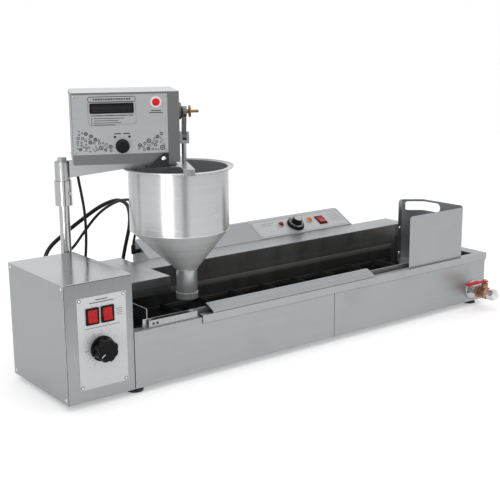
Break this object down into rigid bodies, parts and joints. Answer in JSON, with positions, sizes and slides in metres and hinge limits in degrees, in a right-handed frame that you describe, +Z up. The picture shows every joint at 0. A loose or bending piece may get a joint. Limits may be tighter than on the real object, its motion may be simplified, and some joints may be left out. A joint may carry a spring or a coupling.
{
  "type": "donut machine",
  "caption": "Countertop donut fryer: a batter hopper on a swivelling head drops rings into a conveyor trough, with a drive box, rear controls and a drain valve.",
  "frame": {"origin": "centre of the front left foot's rest face", "axes": "+X along the fryer towards the drain end, +Y to the back, +Z up"},
  "size_m": [1.1905, 0.5237, 0.5779],
  "materials": {
    "stainless": "satin brushed",
    "oiled_steel": "dark, oiled",
    "stainless_bright": "fine satin",
    "chrome": "polished",
    "zinc_steel": "zinc plated",
    "brass": "cast, matte",
    "panel_plate": "satin, printed",
    "head_plate": "satin, printed",
    "case_grey": "fine texture",
    "black_plastic": "moulded",
    "red_plastic": "lit lens and rockers",
    "amber_plastic": "lens",
    "display_glass": "dark window",
    "lever_red": "dipped sleeve",
    "motor_grey": "cast, painted",
    "rubber": "matte",
    "cord_black": "matte jacket"
  },
  "bodies": {
    "base": {"body_pan": "stainless", "front_panel_left": "stainless", "front_panel_right": "stainless", "right_end_panel": "stainless", "front_rim": "stainless", "rear_rim": "stainless", "front_cover_strip": "stainless_bright", "feet": "rubber", "oil_tank": "oiled_steel", "heating_element": "zinc_steel", "thermostat_probe": "zinc_steel", "conveyor_rails": "oiled_steel", "shaft_bearings": "brass", "chains": "oiled_steel", "flights": "oiled_steel", "conveyor_end_plate": "stainless_bright", "rear_deck": "stainless", "drive_box_shell": "stainless", "drive_box_lid": "stainless", "drive_box_label": "panel_plate", "switch_housings": "black_plastic", "gear_motor": "motor_grey", "rear_control_box": "stainless", "rear_label": "panel_plate", "lamp_red": "red_plastic", "lamp_amber": "amber_plastic", "drain_flange": "chrome", "valve_body": "brass", "valve_cap": "zinc_steel", "post": "chrome", "height_collar": "chrome", "post_fixings": "zinc_steel", "cord_head": "cord_black", "cord_power": "cord_black", "cord_signal": "cord_black", "cord_glands": "black_plastic"},
    "rocker_left": {"rocker_left": "red_plastic"},
    "rocker_right": {"rocker_right": "red_plastic"},
    "rear_rocker": {"rear_rocker": "red_plastic"},
    "speed_knob": {"speed_knob": "black_plastic"},
    "thermostat_knob": {"thermostat_knob": "black_plastic"},
    "valve_lever": {"valve_lever": "lever_red"},
    "tray": {"unloading_tray": "stainless_bright"},
    "drive": {"drive_shaft": "oiled_steel"},
    "idler": {"idler_shaft": "oiled_steel"},
    "motor_drive": {"motor_sprocket": "oiled_steel"},
    "head": {"head_arm": "stainless", "head_case": "case_grey", "head_label": "head_plate", "display_window": "display_glass", "hopper_hanger": "zinc_steel", "hopper": "stainless_bright", "head_motor": "motor_grey"},
    "dose_knob": {"dose_knob": "black_plastic"},
    "push_button": {"push_button": "red_plastic"},
    "crank": {"crank": "zinc_steel", "dose_screw": "brass"},
    "plunger": {"plunger": "stainless_bright", "connecting_link": "zinc_steel"}
  },
  "joints": [
    {"name": "rocker_left_tilt", "type": "hinge", "parent": "base", "child": "rocker_left", "pos_m": [-0.1016, -0.0258, 0.178], "axis": [1, 0, 0], "range_deg": [0, 12]},
    {"name": "rocker_right_tilt", "type": "hinge", "parent": "base", "child": "rocker_right", "pos_m": [-0.0695, -0.0258, 0.178], "axis": [1, 0, 0], "range_deg": [0, 12]},
    {"name": "rear_rocker_tilt", "type": "hinge", "parent": "base", "child": "rear_rocker", "pos_m": [0.812, 0.36183, 0.18414], "axis": [1, 0, 0], "range_deg": [0, 12]},
    {"name": "speed_turn", "type": "hinge", "parent": "base", "child": "speed_knob", "pos_m": [-0.0836, -0.025, 0.1118], "axis": [0, -1, 0], "range_deg": [-274, 26]},
    {"name": "thermostat_turn", "type": "hinge", "parent": "base", "child": "thermostat_knob", "pos_m": [0.72, 0.36044, 0.18249], "axis": [0, -0.4695, 0.8829], "range_deg": [-300, 0]},
    {"name": "valve_turn", "type": "hinge", "parent": "base", "child": "valve_lever", "pos_m": [0.982, -0.067, 0.0427], "axis": [0, 0, 1], "range_deg": [0, 90]},
    {"name": "tray_lift", "type": "slide", "parent": "base", "child": "tray", "axis": [0, 0, 1], "range_m": [0, 0.13]},
    {"name": "drive_spin", "type": "hinge", "parent": "base", "child": "drive", "pos_m": [0.058, -0.016, 0.064], "axis": [0, 1, 0], "continuous": true},
    {"name": "idler_spin", "type": "hinge", "parent": "base", "child": "idler", "pos_m": [0.918, 0.009, 0.064], "axis": [0, 1, 0], "continuous": true},
    {"name": "motor_spin", "type": "hinge", "parent": "base", "child": "motor_drive", "pos_m": [-0.064, -0.016, 0.064], "axis": [0, 1, 0], "continuous": true},
    {"name": "head_swivel", "type": "hinge", "parent": "base", "child": "head", "pos_m": [-0.021, 0.227, 0.412], "axis": [0, 0, 1], "range_deg": [-24, 22]},
    {"name": "dose_turn", "type": "hinge", "parent": "head", "child": "dose_knob", "pos_m": [0.05568, 0.11053, 0.4713], "axis": [-0.4337, -0.9011, 0], "range_deg": [-150, 150]},
    {"name": "button_press", "type": "slide", "parent": "head", "child": "push_button", "axis": [0.4337, 0.9011, 0], "range_m": [0, 0.003], "stiffness_N_per_m": 400},
    {"name": "crank_turn", "type": "hinge", "parent": "head", "child": "crank", "pos_m": [0.19111, 0.12492, 0.532], "axis": [0.9011, -0.4337, 0], "range_deg": [-30, 30]},
    {"name": "plunger_stroke", "type": "slide", "parent": "head", "child": "plunger", "axis": [0, 0, 1], "range_m": [-0.0073, 0.0073]}
  ],
  "couplings": [
    {"joint": "idler_spin", "follows": "drive_spin", "ratio": 1},
    {"joint": "motor_spin", "follows": "drive_spin", "ratio": 1},
    {"joint": "crank_turn", "follows": "plunger_stroke", "rad_per_m": -71.43}
  ]
}
